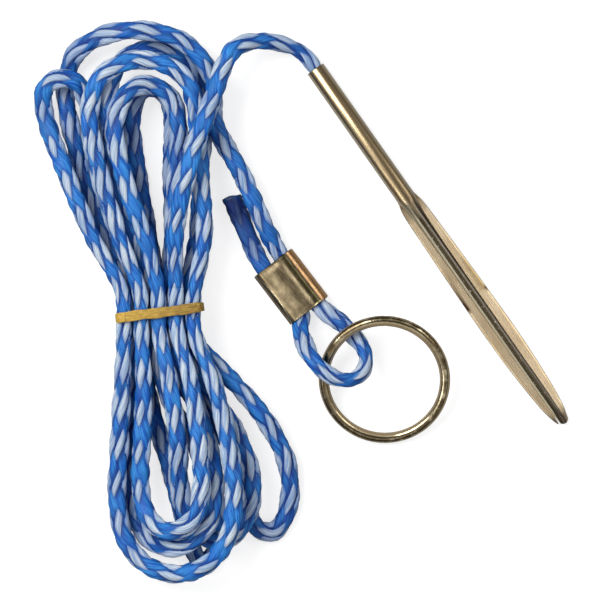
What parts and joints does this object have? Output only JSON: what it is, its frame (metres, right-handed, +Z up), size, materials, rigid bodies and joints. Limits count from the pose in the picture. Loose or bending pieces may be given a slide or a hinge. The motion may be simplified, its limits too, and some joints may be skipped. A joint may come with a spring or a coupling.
{
  "type": "fish stringer",
  "caption": "Fish stringer: a flat braided cord, wound up under a rubber band, with a brass needle crimped on one end and a crimped eye with a metal ring on the other.",
  "frame": {"origin": "bottom centre of the box round the needle, the ring and the sleeve, on the surface that the stringer lies on", "axes": "+Z up from the surface; +Y along the wound cord towards the needle's mouth; +X from the wound cord towards the needle's tip"},
  "size_m": [0.1283, 0.1346, 0.0166],
  "materials": {
    "needle_brass": "dull rolled sheet, drawn lengthwise",
    "ring_brass": "polished wire",
    "sleeve_metal": "satin, pressed",
    "band_rubber": "matt, mottled",
    "cord_braid": "braided yarn, blue and white"
  },
  "bodies": {
    "cord": {"cord_hank": "cord_braid", "cord_lead": "cord_braid", "cord_tail": "cord_braid", "cord_eye": "cord_braid", "cord_stub": "cord_braid", "sleeve": "sleeve_metal", "rubber_band": "band_rubber"},
    "needle": {"needle": "needle_brass", "cord_needle_end": "cord_braid"},
    "ring": {"ring": "ring_brass"}
  },
  "joints": [
    {"name": "ring_swing", "type": "hinge", "parent": "cord", "child": "ring", "pos_m": [-0.02087, -0.02761, 0.005], "axis": [-0.1744, -0.9501, -0.2588], "range_deg": [0, 95]},
    {"name": "needle_swing", "type": "hinge", "parent": "cord", "child": "needle", "pos_m": [-0.02311, 0.04417, 0.0023], "axis": [0, 0, 1], "range_deg": [-5, 35]}
  ]
}
